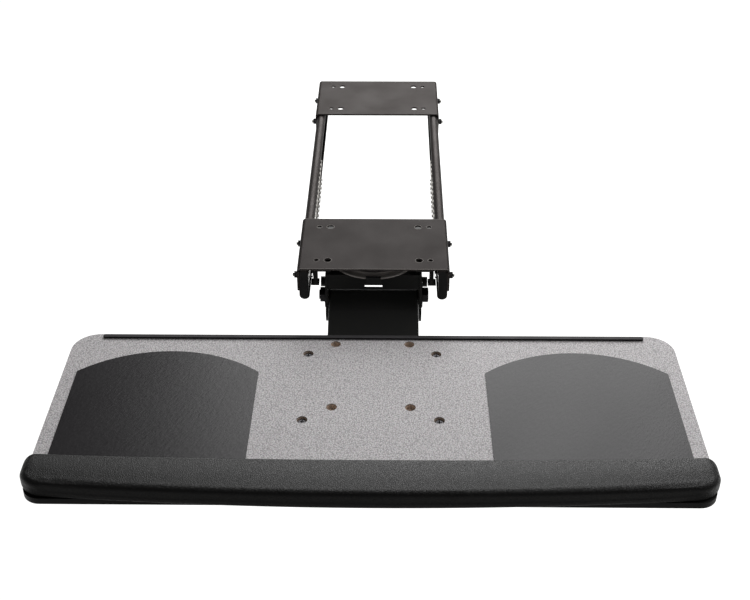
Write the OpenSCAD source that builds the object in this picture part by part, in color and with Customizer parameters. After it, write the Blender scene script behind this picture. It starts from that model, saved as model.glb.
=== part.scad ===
// Keyboard tray that hangs under a desk: two desk brackets carry a pair of ball-bearing slides,
// a carriage with a swivel runs in them, and a level-keeping arm holds the tilting tray.
// Origin: centre of the front bracket's top face. X to the right, Y to the rear, Z up.

/* [Desk brackets] */
// Width of a bracket over its flanges
bracket_w = 186; // [182:1:196]
// Length of a bracket, front to back
bracket_d = 120; // [110:1:130]
// Height of a bracket's side flanges
bracket_h = 31.5; // [29:0.5:36]
// Sheet thickness of the brackets
bracket_t = 2.2; // [1.8:0.1:2.6]
// Diameter of the large fixing holes
large_hole_d = 9; // [7:0.5:10]
// Distance across between the large fixing holes
large_hole_x = 112; // [106:1:116]
// Diameter of the small fixing holes
small_hole_d = 6; // [4:0.5:7]
// Distance across between the small fixing holes
small_hole_x = 140; // [136:1:144]
// Distance front to back between the fixing holes
hole_y = 79; // [70:1:86]

/* [Slides] */
// Length of the slide rails
rail_len = 550; // [500:5:600]
// Height of a slide rail
rail_h = 42; // [40:0.5:43]
// Thickness of a slide rail, from its open side to its web
rail_t = 12.7; // [12.5:0.1:13]
// Sheet thickness of the outer rails
rail_wall = 1.3; // [1.1:0.1:1.4]
// Diameter of the bearing balls
ball_d = 4.8; // [4.6:0.1:4.9]
// Number of balls in one row
ball_count = 20; // [16:1:20]
// Length of a ball cage
cage_len = 256; // [248:4:288]
// Length of an inner rail
inner_len = 176; // [172:1:190]
// Distance between the two studs of a bracket side
stud_pitch = 73; // [60:1:90]

/* [Carriage and swivel] */
// Place of the swivel axis behind the front bracket's centre
swivel_y = 5; // [3:0.5:7]
// Depth of the carriage plate's top below the desk
carriage_drop = 10.5; // [9.5:0.5:11]
// Sheet thickness of the carriage
carriage_t = 2.5; // [2:0.1:2.6]
// Radius of the swivel disc's rim
swivel_r = 58; // [56:0.5:59]
// Thickness of the thrust washers between the arm and the pivot bracket's ears
thrust_t = 1; // [0.8:0.1:1.5]
// Sheet thickness of the pivot bracket
ear_t = 3; // [2.6:0.1:3.4]
// Place of the lift pivot in front of the swivel axis
pivot_ahead = 24; // [23:0.5:25]
// Depth of the lift pivot below the desk
pivot_drop = 64.5; // [63:0.5:66]
// Diameter of the lift pivot bolt
pivot_d = 12; // [11:0.5:12]

/* [Arm] */
// Length of the arm between its pivots
arm_len = 112; // [109:1:118]
// Slope of the arm at rest, in degrees below level
arm_slope = 22; // [20:1:24]
// Width of the arm channel
arm_w = 112; // [100:1:124]
// Sheet thickness of the arm
arm_t = 2.5; // [2:0.1:2.6]
// Height of the arm's top face above its pivot line
arm_rise = 16; // [15:0.5:16]
// Width of a level link
link_w = 12; // [10:0.5:13]
// Diameter of the tilt bolt
tilt_d = 10; // [9:0.5:10]

/* [Tray] */
// Width of the tray board
board_w = 711; // [660:1:760]
// Depth of the tray board, rear edge to front edge
board_d = 270; // [262:1:280]
// Thickness of the tray board with its laminate
board_t = 16; // [15:0.5:18]
// Height of the board's top face above the tilt bolt
board_rise = 49.5; // [48:0.5:52]
// Distance from the tilt bolt back to the board's rear edge
board_back = 4.8; // [4:0.2:7]
// Radius of the board's corners
board_r = 30; // [15:1:40]
// Width of a mouse pad
pad_w = 209; // [180:1:215]
// Distance from the board's end to a mouse pad
pad_inset = 16.5; // [12:0.5:40]
// Rise of a mouse pad's arched edge
pad_arch = 39; // [20:1:45]
// Distance from the board's end to the rear stop strip
strip_inset = 33.5; // [32:0.5:70]

/* [Palm rest] */
// Distance that the palm rest stands past the board's end
palm_over = 2.5; // [0:0.5:8]
// Depth of the palm rest's flat top
palm_top_d = 42; // [39:0.5:44]
// Height of the palm rest above the board
palm_h = 18.5; // [17:0.5:20]
// Bow of the palm rest's front edge
palm_bow = 20; // [14:0.5:22]

/* [Hidden] */
$fn = 64;

// Clearances: a running bore over its pin, a bolt in its hole, plates that pass each other
running = 0.05;
bolt_play = 0.2;
plate_play = 0.5;
cut = 1;

// Slide section: u runs outward from the slide's open side, v up from its middle
rail_mid = -bracket_t - rail_h / 2;
inner_x = bracket_w / 2 - bracket_t - rail_t;
rail_r = rail_t / 2;
rail_end_v = rail_h / 2 - rail_r;
race_r = rail_r - rail_wall;
ball_r = ball_d / 2;
ball_v = rail_end_v + race_r - ball_r - running;
inner_v = ball_v - ball_r - 2 * running;
lip_v = inner_v + 0.9;
inner_u = 1.8;
inner_wall = 1.4;
inner_reach = 8.6;
cage_t = 0.6;
cage_u = 9.3;
cage_edge_u = -1.5;
cage_v = inner_v + 0.2 + cage_t;
pocket_r = ball_r * 0.8;
stop_t = 6;
front_end = -bracket_d / 2;
rear_end = front_end + rail_len;
rear_bracket_y = rear_end - bracket_d / 2;
inner_front = front_end + stop_t + 2;
cage_front = front_end + 40;
ball_pitch = cage_len / ball_count;
stud_d = 5;
stud_head_d = 9;
washer_t = 1;
nut_h = 4;
nut_flats = 8;
stud_out = bracket_w / 2 + washer_t + nut_h + 2;
stud_places = [for (y = [0, rear_bracket_y], s = [-1, 1]) y + s * stud_pitch / 2];

// Carriage and swivel
carriage_z = -carriage_drop;
carriage_x = inner_x + inner_u;
carriage_foot = rail_mid - 12.8;
carriage_reach = 69;
carriage_rear = swivel_y + carriage_reach;
rivet_places = [for (i = [0:3]) swivel_y + 18 + i * (carriage_rear - swivel_y - 30) / 3];
rivet_d = 5;
disc_t = 2.5;
washer_z = carriage_z - carriage_t;
slip_t = 1.5;
slip_in = 6;
disc_z = washer_z - slip_t;
rim_drop = 3;
rim_w = 8;
ear_top = disc_z - rim_drop - disc_t;
swivel_pin_d = 14;
pivot_y = swivel_y - pivot_ahead;
pivot_z = -pivot_drop;
ear_w = arm_w + 2 * (thrust_t + ear_t);
ear_x = ear_w / 2;
ear_r = 23;
ear_rear = swivel_y + 40;
apron_t = ear_t;
apron_front = pivot_y - ear_r + 1;
apron_foot = ear_top - 22;
slot_w = 22;
slot_top = apron_foot + 6;
slot_h = 4;
tab_w = 18;
tab_y = swivel_y - swivel_r - 1.5;
bolt_flats = 18;
bolt_head_h = 7.5;
pivot_nut_h = 6;
pivot_washer_t = 1.6;
pivot_washer_r = 16.5;
thrust_r = 10.5;

// Arm, level links and tilt head: the links lie parallel to the arm at this offset
link_offset = [5.7, -16.5];
link_t = 3;
link_play = 4.5;
link_x = arm_w / 2 - arm_t - link_play - link_t;
link_pin_d = 8;
link_boss_r = 7.3;
sleeve_r = 7.5;
tilt_y = pivot_y - arm_len * cos(arm_slope);
tilt_z = pivot_z - arm_len * sin(arm_slope);
collar_t = 2;
yoke_x = link_x - collar_t;
yoke_t = 3;
yoke_foot = -28;
friction_t = 1.5;
friction_r = 13;
tilt_ear_x = yoke_x - yoke_t - friction_t;
tilt_ear_t = 3;
tilt_sleeve_r = 8;
stop_rise = 22;
stop_d = 6;
tilt_down = 15;
tilt_up = 10;
knob_r = 22;
knob_t = 24;

// Tray: y runs from the board's rear edge, forward is negative, z from the board's top face
board_y = tilt_y + board_back;
board_z = tilt_z + board_rise;
laminate_t = 0.8;
band_t = 1;
board_under = board_z - board_t;
plate_t = 2.5;
plate_reach = 46.5;
plate_x = tilt_ear_x + plate_reach;
plate_rear = -27;
plate_front = -170;
screw_x = plate_x - 11;
screw_rear = plate_rear - 10;
screw_front = plate_front + 13;
spare_x = 43.6;
spare_rear = -17.8;
spare_front = -135;
screw_holes = [for (s = [-1, 1], y = [screw_rear, screw_front]) [s * screw_x, y]];
spare_holes = [for (s = [-1, 1], y = [spare_rear, spare_front]) [s * spare_x, y]];
counterbore_d = 12;
counterbore_h = 6;
screw_d = 5;
strip_x = board_w / 2 - strip_inset;
strip_y = -6;
strip_w = 5.5;
strip_sunk = 3;
strip_proud = 2.5;
palm_x = board_w / 2 + palm_over;
palm_on_board = 27;
palm_rear = -board_d + palm_on_board;
palm_roll = 7;
palm_end_r = 24;
palm_rear_r = 13;
palm_top_r = 10;
palm_seat = 4;
pad_t = 1.2;
pad_gap = board_w / 2 - pad_inset - pad_w;
pad_shoulder = -74;
pad_clear = 17;
pad_front = palm_rear + pad_clear;
base_x = palm_x - palm_end_r;
base_back = 4;
base_r = 20;
base_lip_d = 11;
base_lip_t = 2;
base_lip_foot = -9;
base_lip_top = -1.6;
palm_screw_d = 4;
palm_screw_inset = 50;
palm_screw_x = [for (i = [-2:2]) i * (base_x - palm_screw_inset) / 2];
palm_screw_y = palm_rear - 11;

// Shared shapes

// The children and their mirror image on the left side
module both_sides() {
    children();
    mirror([1, 0, 0]) children();
}

// One side of the object: 1 is right, -1 is left
module on_side(side) {
    mirror([side < 0 ? 1 : 0, 0, 0]) children();
}

// An outline in X and Z drawn out along Y
module along_y(from, to) {
    translate([0, to, 0]) rotate([90, 0, 0]) linear_extrude(to - from) children();
}

// An outline in Y and Z drawn out along X
module along_x(from, to) {
    translate([from, 0, 0]) rotate([90, 0, 90]) linear_extrude(to - from) children();
}

// A round bar along X
module bar_x(from, to, r) {
    translate([from, 0, 0]) rotate([0, 90, 0]) cylinder(h = to - from, r = r);
}

// A hexagonal bar along X, measured across its flats
module hex_x(from, to, flats) {
    translate([from, 0, 0]) rotate([0, 90, 0]) cylinder(h = to - from, r = flats / sqrt(3), $fn = 6);
}

// Section of a folded channel: top at z = 0, legs down, rounded outer bends
module channel_section(w, h, t, bend) {
    difference() {
        union() {
            translate([-w / 2, -h]) square([w, h - bend]);
            translate([-w / 2 + bend, -h]) square([w - 2 * bend, h]);
            for (s = [-1, 1]) translate([s * (w / 2 - bend), -bend]) circle(bend);
        }
        translate([-w / 2 + t, -h - cut]) square([w - 2 * t, h - t + cut]);
    }
}

// Rectangle with rounded corners between two corners
module round_rect(low, high, r) {
    translate([low[0] + r, low[1]]) square([high[0] - low[0] - 2 * r, high[1] - low[1]]);
    translate([low[0], low[1] + r]) square([high[0] - low[0], high[1] - low[1] - 2 * r]);
    for (x = [low[0] + r, high[0] - r], y = [low[1] + r, high[1] - r]) translate([x, y]) circle(r);
}

// Place on a circle where a straight line from an outside point touches it
function touch(point, centre, r, turn) =
    let (
        d = point - centre,
        angle = atan2(d[1], d[0]) + turn * acos(r / norm(d))
    )
    centre + r * [cos(angle), sin(angle)];

// Points on an arc
function arc(centre, r, from, to, steps) =
    [for (i = [0:steps]) let (a = from + (to - from) * i / steps) centre + r * [cos(a), sin(a)]];

// Desk brackets

module desk_bracket(y) {
    difference() {
        along_y(y - bracket_d / 2, y + bracket_d / 2)
            channel_section(bracket_w, bracket_h, bracket_t, bracket_t + 2);
        for (x = [-1, 1], s = [-1, 1]) translate([0, y + s * hole_y / 2, -bracket_t - cut]) {
            translate([x * large_hole_x / 2, 0, 0]) cylinder(h = bracket_t + 2 * cut, d = large_hole_d);
            translate([x * small_hole_x / 2, 0, 0]) cylinder(h = bracket_t + 2 * cut, d = small_hole_d);
        }
        for (s = [-1, 1]) translate([0, y + s * stud_pitch / 2, rail_mid])
            bar_x(-bracket_w / 2 - cut, bracket_w / 2 + cut, stud_d / 2 + bolt_play);
    }
}

module front_desk_bracket() {
    color("#4a4644") desk_bracket(0);
}

module rear_desk_bracket() {
    color("#67615e") desk_bracket(rear_bracket_y);
}

// Slides

module capsule(r) {
    translate([rail_r - r, -rail_end_v]) square([2 * r, 2 * rail_end_v]);
    for (s = [-1, 1]) translate([rail_r, s * rail_end_v]) circle(r);
}

module outer_rail(side) {
    on_side(side) difference() {
        translate([inner_x, 0, rail_mid]) along_y(front_end, rear_end) difference() {
            capsule(rail_r);
            capsule(race_r);
            translate([-cut, -lip_v]) square([rail_r + cut, 2 * lip_v]);
        }
        for (y = stud_places) translate([0, y, rail_mid])
            bar_x(inner_x + rail_r, inner_x + rail_t + cut, stud_head_d / 2);
    }
}

module left_outer_rail() {
    color("#2d2a28") outer_rail(-1);
}

module right_outer_rail() {
    color("#2d2a28") outer_rail(1);
}

module rail_studs() {
    color("#8f8f8c") both_sides() for (y = stud_places) translate([0, y, rail_mid]) {
        bar_x(inner_x + rail_t - rail_wall, inner_x + rail_t, stud_head_d / 2);
        bar_x(inner_x + rail_t - rail_wall, stud_out, stud_d / 2);
    }
}

module rail_washers() {
    color("#c4c3bf") both_sides() for (y = stud_places) translate([0, y, rail_mid]) difference() {
        bar_x(bracket_w / 2, bracket_w / 2 + washer_t, stud_d);
        bar_x(bracket_w / 2 - cut, stud_out, stud_d / 2 + bolt_play);
    }
}

module rail_nuts() {
    nut_from = bracket_w / 2 + washer_t;
    color("#3a3a3a") both_sides() for (y = stud_places) translate([0, y, rail_mid]) difference() {
        hex_x(nut_from, nut_from + nut_h, nut_flats);
        bar_x(nut_from - cut, stud_out + cut, stud_d / 2);
    }
}

// Moulded plug that closes a rail's end and stops the inner rail
module rail_stop(from) {
    translate([inner_x, 0, rail_mid]) along_y(from, from + stop_t) difference() {
        union() {
            capsule(race_r - running);
            translate([rail_r, -rail_end_v]) square([race_r, 2 * rail_end_v]);
        }
        translate([-cut, -rail_h]) square([inner_u / 2 + cut, 2 * rail_h]);
    }
}

module front_rail_stops() {
    color("#1b1b1b") both_sides() rail_stop(front_end);
}

module rear_rail_stops() {
    color("#1b1b1b") both_sides() rail_stop(rear_end - stop_t);
}

module inner_rail(side) {
    on_side(side) difference() {
        translate([inner_x, 0, rail_mid]) along_y(inner_front, inner_front + inner_len) difference() {
            translate([inner_u, -inner_v]) square([inner_reach - inner_u, 2 * inner_v]);
            translate([inner_u + inner_wall, -inner_v + inner_wall])
                square([inner_reach, 2 * (inner_v - inner_wall)]);
        }
        for (y = rivet_places) translate([0, y, rail_mid])
            bar_x(inner_x, inner_x + rail_t, rivet_d / 2);
    }
}

module left_inner_rail() {
    color("#8f8f8c") inner_rail(-1);
}

module right_inner_rail() {
    color("#8f8f8c") inner_rail(1);
}

// Pressed strip: legs that run under the rail's lips to its open side, a pocket for each ball, ladder windows
module ball_cage(side) {
    rung_w = ball_pitch * 0.55;
    rung_u = [cage_edge_u + cage_t, cage_edge_u + 3.4];
    on_side(side) difference() {
        translate([inner_x, 0, rail_mid]) along_y(cage_front, cage_front + cage_len) difference() {
            translate([cage_edge_u, -cage_v]) square([cage_u + cage_t - cage_edge_u, 2 * cage_v]);
            translate([cage_edge_u - cut, -cage_v + cage_t])
                square([cage_u - cage_edge_u + cut, 2 * (cage_v - cage_t)]);
        }
        for (i = [0:ball_count - 1]) translate([inner_x, cage_front + (i + 0.5) * ball_pitch, rail_mid]) {
            translate([rail_r, 0, -rail_h / 2]) cylinder(h = rail_h, r = pocket_r);
            translate([rung_u[0], -rung_w / 2, -rail_h / 2]) cube([rung_u[1] - rung_u[0], rung_w, rail_h]);
            for (s = [-1, 1])
                translate([cage_u - cut, -ball_pitch * 0.3, s * inner_v * 0.52 - inner_v * 0.34])
                    cube([cage_t + 2 * cut, ball_pitch * 0.6, inner_v * 0.68]);
        }
    }
}

module bearing_balls(side) {
    on_side(side) for (i = [0:ball_count - 1], s = [-1, 1])
        translate([inner_x + rail_r, cage_front + (i + 0.5) * ball_pitch, rail_mid + s * ball_v])
            sphere(ball_r);
}

module left_ball_cage() {
    color("#b9b8b2") ball_cage(-1);
}

module right_ball_cage() {
    color("#b9b8b2") ball_cage(1);
}

module left_bearing_balls() {
    color("#dcdcdc") bearing_balls(-1);
}

module right_bearing_balls() {
    color("#dcdcdc") bearing_balls(1);
}

// Carriage

// Folded plate: flanges riveted to the inner rails, round nose over the swivel, hooked front tabs
module carriage_plate() {
    nose_r = 46;
    tab_y = [swivel_y - 51, swivel_y - 39];
    tab_x = [inner_x - 26, inner_x - 9];
    hook_w = 5;
    hook_z = carriage_z - 20;
    foot_x = [tab_x[1] - 2, inner_x - 1];
    color("#201f1f") difference() {
        union() {
            translate([0, 0, carriage_z]) along_y(swivel_y, carriage_rear)
                channel_section(2 * carriage_x, carriage_z - carriage_foot, carriage_t, carriage_t + 1);
            translate([0, swivel_y, washer_z]) cylinder(h = carriage_t, r = nose_r);
            both_sides() translate([0, tab_y[0], 0]) {
                translate([tab_x[0], 0, washer_z])
                    cube([tab_x[1] + hook_w - tab_x[0], swivel_y - tab_y[0] + carriage_t, carriage_t]);
                translate([tab_x[1], 0, hook_z]) cube([hook_w, tab_y[1] - tab_y[0], carriage_z - hook_z]);
                translate([foot_x[0], 0, hook_z - carriage_t])
                    cube([foot_x[1] - foot_x[0], tab_y[1] - tab_y[0], carriage_t]);
            }
        }
        translate([0, swivel_y, washer_z - cut])
            cylinder(h = carriage_t + 2 * cut, d = swivel_pin_d + 2 * running);
        for (y = rivet_places) translate([0, y, rail_mid])
            bar_x(-carriage_x - cut, carriage_x + cut, rivet_d / 2);
    }
}

module carriage_rivets() {
    head_h = 1.4;
    tail_h = 0.8;
    head_x = carriage_x - carriage_t;
    tail_x = carriage_x + inner_wall;
    color("#6f6f6d") both_sides() for (y = rivet_places) translate([0, y, rail_mid]) {
        bar_x(head_x - head_h, head_x, rivet_d * 0.8);
        bar_x(head_x - head_h, tail_x + tail_h, rivet_d / 2);
        bar_x(tail_x, tail_x + tail_h, rivet_d * 0.7);
    }
}

// Swivel

module swivel_washer() {
    color("#d8d5c8") translate([0, swivel_y, disc_z]) difference() {
        cylinder(h = slip_t, r = swivel_r - rim_w - slip_in);
        translate([0, 0, -cut]) cylinder(h = slip_t + 2 * cut, d = swivel_pin_d + 2 * running);
    }
}

// Pressed disc: a raised middle under the slip washer and a lower flat rim
module swivel_disc() {
    step_r = swivel_r - rim_w;
    round_r = disc_t / 2;
    color("#3b3735") translate([0, swivel_y, disc_z]) rotate_extrude() {
        translate([swivel_pin_d / 2, -disc_t]) square([step_r - swivel_pin_d / 2, disc_t]);
        translate([step_r - disc_t, -rim_drop - disc_t]) square([disc_t, rim_drop + disc_t]);
        translate([step_r - disc_t, -rim_drop - disc_t]) square([rim_w + disc_t - round_r, disc_t]);
        translate([swivel_r - round_r, -rim_drop - round_r]) circle(round_r);
    }
}

// Shouldered pin: flat head on the carriage, riveted over under the pivot bracket
module swivel_pin() {
    head_r = 13;
    head_h = 3.5;
    tail_h = 3;
    spacer_r = 12;
    foot = ear_top - ear_t;
    color("#77756f") translate([0, swivel_y, 0]) {
        translate([0, 0, carriage_z]) cylinder(h = head_h, r = head_r);
        translate([0, 0, foot - tail_h]) cylinder(h = carriage_z - foot + tail_h, d = swivel_pin_d);
        translate([0, 0, ear_top]) cylinder(h = disc_z - disc_t - ear_top, r = spacer_r);
        translate([0, 0, foot - tail_h]) cylinder(h = tail_h, r = spacer_r);
    }
}

link_rear = [pivot_y, pivot_z] + link_offset;
link_front = [tilt_y, tilt_z] + link_offset;

// Folded bracket: a top under the disc, two ears for the lift pivot, a slotted apron and a front tab
module pivot_bracket() {
    corner = [ear_rear, ear_top - 12];
    lobe_r = 8.5;
    brow = [pivot_y - 12, pivot_z - 12];
    brow_r = 17;
    boss = [pivot_y + 23, pivot_z + 4.5];
    boss_r = 6.5;
    boss_out = 8;
    color("#161616") difference() {
        union() {
            intersection() {
                translate([0, 0, ear_top]) along_y(pivot_y - 2 * ear_r, ear_rear)
                    channel_section(ear_w, pivot_drop + 40, ear_t, ear_t + 1);
                along_x(-ear_x, ear_x) {
                    translate([pivot_y, pivot_z]) circle(ear_r);
                    translate(brow) circle(brow_r);
                    translate(link_rear) circle(lobe_r);
                    polygon([
                        [pivot_y - ear_r, pivot_z], [pivot_y - ear_r, ear_top], [ear_rear, ear_top], corner,
                        touch(corner, link_rear, lobe_r, -1), link_rear - [0, lobe_r],
                        [pivot_y, pivot_z - ear_r],
                    ]);
                }
            }
            translate([-ear_x + ear_t, apron_front, apron_foot])
                cube([ear_w - 2 * ear_t, apron_t, ear_top - apron_foot]);
            translate([-tab_w / 2, tab_y - ear_t, ear_top - ear_t])
                cube([tab_w, apron_front - tab_y + 2 * ear_t, ear_t]);
            translate([-tab_w / 2, tab_y - ear_t, ear_top - ear_t]) cube([tab_w, ear_t, ear_t + 6]);
            both_sides() translate([0, boss[0], boss[1]]) bar_x(ear_x - cut, ear_x + boss_out, boss_r);
        }
        translate([-slot_w / 2, apron_front - cut, slot_top - slot_h])
            cube([slot_w, apron_t + 2 * cut, slot_h]);
        translate([0, swivel_y, ear_top - ear_t - cut]) cylinder(h = ear_t + 2 * cut, d = swivel_pin_d);
        translate([0, pivot_y, pivot_z]) bar_x(-ear_x - cut, ear_x + cut, pivot_d / 2 + bolt_play);
        translate([0, link_rear[0], link_rear[1]]) bar_x(-ear_x - cut, ear_x + cut, link_pin_d / 2);
    }
}

module pivot_bolt() {
    head = ear_x + pivot_washer_t;
    chamfer = 1.2;
    color("#2a2a2a") translate([0, pivot_y, pivot_z]) {
        bar_x(-head - pivot_nut_h - 1.5, head, pivot_d / 2);
        intersection() {
            hex_x(head, head + bolt_head_h, bolt_flats);
            translate([head, 0, 0]) rotate([0, 90, 0]) {
                cylinder(h = bolt_head_h - chamfer, r = bolt_flats);
                translate([0, 0, bolt_head_h - chamfer])
                    cylinder(h = chamfer, r1 = bolt_flats / 2 + chamfer, r2 = bolt_flats / 2 - chamfer / 2);
            }
        }
    }
}

module pivot_nut() {
    face = -ear_x - pivot_washer_t;
    color("#2a2a2a") translate([0, pivot_y, pivot_z]) difference() {
        hex_x(face - pivot_nut_h, face, bolt_flats);
        bar_x(face - pivot_nut_h - cut, face + cut, pivot_d / 2);
    }
}

module pivot_washers() {
    color("#33312f") both_sides() translate([0, pivot_y, pivot_z]) difference() {
        bar_x(ear_x, ear_x + pivot_washer_t, pivot_washer_r);
        bar_x(ear_x - cut, ear_x + pivot_washer_t + cut, pivot_d / 2 + bolt_play);
    }
}

// Pins pressed flush into the ears, riveted over inside the level links
module rear_link_pins() {
    rivet_h = 1.5;
    color("#8f8f8c") both_sides() translate([0, link_rear[0], link_rear[1]]) {
        bar_x(link_x - rivet_h, ear_x, link_pin_d / 2);
        bar_x(link_x - rivet_h, link_x - running, link_pin_d * 0.7);
    }
}

// Arm

// Arm coordinates: y runs back from the lift pivot along the arm, z is square to it
module in_arm() {
    translate([0, pivot_y, pivot_z]) rotate([arm_slope, 0, 0]) children();
}

// Folded channel with a roof that bends down to the tilt head and side walls that carry both pivots
module arm_channel() {
    wall_foot = -11;
    roof_rear = -5;
    roof_front = -arm_len + 78;
    nose_r = 12;
    nose_rise = 8;
    nose_y = -arm_len + 28;
    color("#121212") in_arm() difference() {
        union() {
            intersection() {
                translate([0, 0, arm_rise]) along_y(-arm_len - nose_r, -wall_foot)
                    channel_section(arm_w, arm_rise + nose_r + cut, arm_t, arm_t + 1.5);
                along_x(-arm_w / 2, arm_w / 2) {
                    circle(-wall_foot);
                    translate([-arm_len, 0]) circle(nose_r);
                    polygon([
                        [-arm_len, -nose_r], [0, wall_foot],
                        touch([roof_rear, arm_rise], [0, 0], -wall_foot, -1),
                        [roof_rear, arm_rise], [roof_front, arm_rise], [nose_y, nose_rise],
                        touch([nose_y, nose_rise], [-arm_len, 0], nose_r, 1), [-arm_len, 0],
                    ]);
                }
            }
            along_x(-arm_w / 2 + arm_t / 2, arm_w / 2 - arm_t / 2) polygon([
                [roof_front + cut, arm_rise], [roof_front, arm_rise], [nose_y, nose_rise],
                [nose_y, nose_rise - arm_t], [roof_front, arm_rise - arm_t],
                [roof_front + cut, arm_rise - arm_t],
            ]);
        }
        translate([-arm_w / 2 + arm_t, roof_rear, arm_rise - arm_t - cut])
            cube([arm_w - 2 * arm_t, -roof_rear + nose_r, arm_t + 2 * cut]);
        bar_x(-arm_w, arm_w, pivot_d / 2 + running);
        translate([0, -arm_len, 0]) bar_x(-arm_w, arm_w, tilt_d / 2 + running);
    }
}

module pivot_sleeve() {
    reach = arm_w / 2 - arm_t;
    color("#2a2a2a") translate([0, pivot_y, pivot_z]) difference() {
        bar_x(-reach, reach, sleeve_r);
        bar_x(-reach - cut, reach + cut, pivot_d / 2 + running);
    }
}

module arm_thrust_washers() {
    color("#d8d5c8") both_sides() translate([0, pivot_y, pivot_z]) difference() {
        bar_x(arm_w / 2, arm_w / 2 + thrust_t - running, thrust_r);
        bar_x(arm_w / 2 - cut, ear_x, pivot_d / 2 + running);
    }
}

// Flat bar with a bored boss at each end
module level_link(side) {
    on_side(side) translate([0, link_offset[0], link_offset[1]]) in_arm() difference() {
        along_x(link_x, link_x + link_t) {
            translate([-arm_len, -link_w / 2]) square([arm_len, link_w]);
            circle(link_boss_r);
            translate([-arm_len, 0]) circle(link_boss_r);
        }
        for (y = [0, -arm_len]) translate([0, y, 0])
            bar_x(link_x - cut, link_x + link_t + cut, link_pin_d / 2 + running);
    }
}

module left_level_link() {
    color("#6a6967") level_link(-1);
}

module right_level_link() {
    color("#6a6967") level_link(1);
}

// Tilt head

// Cradle that the level links keep level: two cheeks on a cross web under the tilt bolt
module tilt_yoke() {
    top_r = stop_d;
    web_y = 14;
    color("#1c1c1c") translate([0, tilt_y, tilt_z]) difference() {
        intersection() {
            translate([0, 0, yoke_foot]) mirror([0, 0, 1]) along_y(-web_y, web_y + 4)
                channel_section(2 * yoke_x, stop_rise + top_r - yoke_foot, yoke_t, yoke_t + 1);
            along_x(-yoke_x, yoke_x) {
                translate([0, stop_rise]) circle(top_r);
                polygon([
                    [-web_y, yoke_foot], [web_y + 4, yoke_foot], [web_y + 4, 0],
                    [top_r, stop_rise], [-top_r, stop_rise], [-web_y, 0],
                ]);
            }
        }
        bar_x(-yoke_x - cut, yoke_x + cut, tilt_d / 2);
        translate([0, link_offset[0], link_offset[1]]) bar_x(-yoke_x - cut, yoke_x + cut, link_pin_d / 2);
        translate([0, 0, stop_rise]) bar_x(-yoke_x - cut, yoke_x + cut, stop_d / 2);
    }
}

module front_link_pins() {
    rivet_h = 1.5;
    collar_r = 6;
    color("#8f8f8c") both_sides() translate([0, link_front[0], link_front[1]]) {
        bar_x(yoke_x - yoke_t, link_x + link_t + rivet_h, link_pin_d / 2);
        bar_x(yoke_x, link_x - running, collar_r);
        bar_x(link_x + link_t + running, link_x + link_t + rivet_h, link_pin_d * 0.7);
    }
}

module tilt_bolt() {
    head_h = 6.5;
    head_x = arm_w / 2 + plate_play;
    color("#2a2a2a") translate([0, tilt_y, tilt_z]) {
        bar_x(-head_x, head_x + 1 + knob_t * 0.6, tilt_d / 2);
        hex_x(-head_x - head_h, -head_x, 16);
    }
}

module pin_spacers() {
    color("#8f8f8c") both_sides() translate([0, tilt_y, tilt_z]) difference() {
        bar_x(yoke_x, arm_w / 2 - arm_t - plate_play / 2, 7);
        bar_x(yoke_x - cut, arm_w / 2, tilt_d / 2);
    }
}

module tilt_stop_pins() {
    color("#8f8f8c") both_sides() translate([0, tilt_y, tilt_z + stop_rise])
        bar_x(tilt_ear_x - tilt_ear_t - 1, yoke_x, stop_d / 2);
}

// Hand knob with finger scallops round its rim
module tilt_knob() {
    from = arm_w / 2 + plate_play + 1;
    scallops = 7;
    color("#1a1a1a") translate([from, tilt_y, tilt_z]) rotate([0, 90, 0]) difference() {
        union() {
            cylinder(h = knob_t * 0.4, r = 12);
            translate([0, 0, knob_t * 0.3]) cylinder(h = knob_t * 0.7, r = knob_r);
        }
        for (i = [0:scallops - 1]) rotate([0, 0, i * 360 / scallops])
            translate([knob_r + 4, 0, knob_t * 0.3 - cut])
            cylinder(h = knob_t, r = 8);
        translate([0, 0, -cut]) cylinder(h = knob_t * 0.6 + 2 * cut, d = tilt_d + 6);
    }
}

module knob_insert() {
    from = arm_w / 2 + plate_play + 1;
    color("#b58d3d") translate([from, tilt_y, tilt_z]) rotate([0, 90, 0]) difference() {
        cylinder(h = knob_t * 0.6 + cut, d = tilt_d + 6);
        translate([0, 0, -cut]) cylinder(h = knob_t, d = tilt_d + 2 * running);
    }
}

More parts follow.
